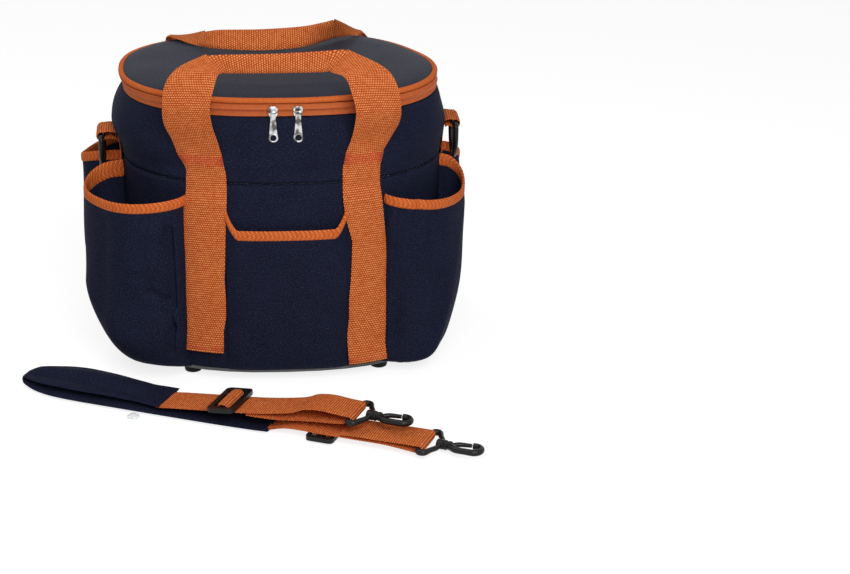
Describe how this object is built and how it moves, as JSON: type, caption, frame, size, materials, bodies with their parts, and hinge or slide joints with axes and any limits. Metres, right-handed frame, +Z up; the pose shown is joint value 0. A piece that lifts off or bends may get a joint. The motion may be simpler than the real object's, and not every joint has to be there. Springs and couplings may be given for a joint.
{
  "type": "grooming bag",
  "caption": "Soft upright carry bag with a zipped flip lid, outside pockets, webbing handles, side rings and a detached padded shoulder strap with snap hooks.",
  "frame": {"origin": "centre of the base panel's underside; the feet reach below it", "axes": "+X to the viewer's right along the long side, -Y to the front, +Z up"},
  "size_m": [0.4363, 0.426, 0.3326],
  "materials": {
    "navy_polyester": "plain woven navy polyester, slightly sheeny",
    "grey_lining": "thin plain woven lining",
    "foam": "open cell padding, matt",
    "board": "flat stiffener board",
    "orange_webbing": "ribbed woven webbing",
    "orange_binding": "herringbone binding tape and piping",
    "orange_zip": "knitted zip tape with coil teeth",
    "chrome": "polished plating",
    "black_plastic": "moulded, satin",
    "clear_plastic": "clear, smooth"
  },
  "bodies": {
    "bag": {"back_centre_binding": "orange_binding", "back_centre_pocket": "navy_polyester", "back_left_binding": "orange_binding", "back_left_pocket": "navy_polyester", "back_right_binding": "orange_binding", "back_right_pocket": "navy_polyester", "back_strap_left": "orange_webbing", "back_strap_right": "orange_webbing", "base_board": "board", "base_panel": "navy_polyester", "body_lining": "grey_lining", "body_upper_band": "navy_polyester", "body_wall": "navy_polyester", "foot_back_left": "black_plastic", "foot_back_right": "black_plastic", "foot_front_left": "black_plastic", "foot_front_right": "black_plastic", "front_centre_binding": "orange_binding", "front_centre_pocket": "navy_polyester", "front_left_binding": "orange_binding", "front_left_pocket": "navy_polyester", "front_right_binding": "orange_binding", "front_right_pocket": "navy_polyester", "front_strap_left": "orange_webbing", "front_strap_right": "orange_webbing", "hinge_strip_body": "navy_polyester", "pad_stud": "clear_plastic", "shoulder_pad": "navy_polyester", "shoulder_web_lower": "orange_webbing", "shoulder_web_upper": "orange_webbing", "side_strap_left": "orange_webbing", "side_strap_right": "orange_webbing", "wall_foam": "foam", "zip_tape_lower": "orange_zip", "zip_teeth_lower": "orange_zip"},
    "lid": {"lid_top": "navy_polyester", "lid_foam": "foam", "lid_lining": "grey_lining", "lid_piping": "orange_binding", "zip_teeth_upper": "orange_zip", "zip_tape_upper": "orange_zip", "hinge_strip_lid": "navy_polyester"},
    "front_handle": {"front_handle": "orange_webbing"},
    "back_handle": {"back_handle": "orange_webbing"},
    "zip_slider_left": {"zip_slider_left": "chrome"},
    "zip_pull_left": {"zip_pull_left": "chrome"},
    "d_ring_left": {"d_ring_left": "black_plastic"},
    "zip_slider_right": {"zip_slider_right": "chrome"},
    "zip_pull_right": {"zip_pull_right": "chrome"},
    "d_ring_right": {"d_ring_right": "black_plastic"},
    "adjuster_upper": {"adjuster_upper": "black_plastic", "adjuster_upper_fold": "orange_webbing"},
    "hook_loop_upper": {"hook_loop_upper": "black_plastic"},
    "hook_upper": {"hook_upper": "black_plastic"},
    "hook_gate_upper": {"hook_gate_upper": "black_plastic"},
    "adjuster_lower": {"adjuster_lower": "black_plastic", "adjuster_lower_fold": "orange_webbing"},
    "hook_loop_lower": {"hook_loop_lower": "black_plastic"},
    "hook_lower": {"hook_lower": "black_plastic"},
    "hook_gate_lower": {"hook_gate_lower": "black_plastic"}
  },
  "joints": [
    {"name": "lid_hinge", "type": "hinge", "parent": "bag", "child": "lid", "pos_m": [0, 0.1166, 0.26535], "axis": [-1, 0, 0], "range_deg": [0, 100]},
    {"name": "back_handle_swing", "type": "hinge", "parent": "bag", "child": "back_handle", "pos_m": [0, 0.11509, 0.2228], "axis": [-1, 0, 0], "range_deg": [0, 100]},
    {"name": "front_handle_swing", "type": "hinge", "parent": "bag", "child": "front_handle", "pos_m": [0, -0.11509, 0.2228], "axis": [1, 0, 0], "range_deg": [0, 120]},
    {"name": "zip_slider_left_run", "type": "slide", "parent": "bag", "child": "zip_slider_left", "axis": [-0.9984, 0.0558, 0], "range_m": [0, 0.03]},
    {"name": "zip_pull_left_flip", "type": "hinge", "parent": "zip_slider_left", "child": "zip_pull_left", "pos_m": [-0.0115, -0.1202, 0.26535], "axis": [-1, 0, 0], "range_deg": [0, 170]},
    {"name": "d_ring_left_swing", "type": "hinge", "parent": "bag", "child": "d_ring_left", "pos_m": [-0.1725, 0, 0.2109], "axis": [0, 1, 0], "range_deg": [0, 110]},
    {"name": "zip_slider_right_run", "type": "slide", "parent": "bag", "child": "zip_slider_right", "axis": [0.9984, 0.0558, 0], "range_m": [0, 0.03]},
    {"name": "zip_pull_right_flip", "type": "hinge", "parent": "zip_slider_right", "child": "zip_pull_right", "pos_m": [0.0115, -0.1202, 0.26535], "axis": [-1, 0, 0], "range_deg": [0, 170]},
    {"name": "d_ring_right_swing", "type": "hinge", "parent": "bag", "child": "d_ring_right", "pos_m": [0.1676, 0, 0.2183], "axis": [0, -1, 0], "range_deg": [0, 110]},
    {"name": "adjuster_upper_slide", "type": "slide", "parent": "bag", "child": "adjuster_upper", "axis": [0.9023, -0.4188, 0.102], "range_m": [-0.03, 0.05]},
    {"name": "adjuster_lower_slide", "type": "slide", "parent": "bag", "child": "adjuster_lower", "axis": [0.907, -0.421, 0], "range_m": [-0.015, 0.04]},
    {"name": "hook_loop_upper_tilt", "type": "hinge", "parent": "bag", "child": "hook_loop_upper", "pos_m": [0.0573, -0.23357, 0.014], "axis": [-0.421, -0.907, 0], "range_deg": [0, 90]},
    {"name": "hook_upper_swivel", "type": "hinge", "parent": "hook_loop_upper", "child": "hook_upper", "pos_m": [0.0573, -0.23357, 0.014], "axis": [0.907, -0.421, 0], "continuous": true},
    {"name": "hook_gate_upper_press", "type": "hinge", "parent": "hook_upper", "child": "hook_gate_upper", "pos_m": [0.08227, -0.24274, 0.014], "axis": [0, 0, -1], "range_deg": [0, 20], "stiffness_Nm_per_rad": 0.03, "springref_deg": -8.59},
    {"name": "hook_loop_lower_tilt", "type": "hinge", "parent": "bag", "child": "hook_loop_lower", "pos_m": [0.11806, -0.26894, -0.0003], "axis": [-0.421, -0.907, 0], "range_deg": [0, 90]},
    {"name": "hook_lower_swivel", "type": "hinge", "parent": "hook_loop_lower", "child": "hook_lower", "pos_m": [0.11806, -0.26894, -0.0003], "axis": [0.907, -0.421, 0], "continuous": true},
    {"name": "hook_gate_lower_press", "type": "hinge", "parent": "hook_lower", "child": "hook_gate_lower", "pos_m": [0.14302, -0.2781, -0.0003], "axis": [0, 0, -1], "range_deg": [0, 20], "stiffness_Nm_per_rad": 0.03, "springref_deg": -8.59}
  ],
  "couplings": [
    {"joint": "back_handle_swing", "follows": "lid_hinge", "ratio": 1}
  ]
}
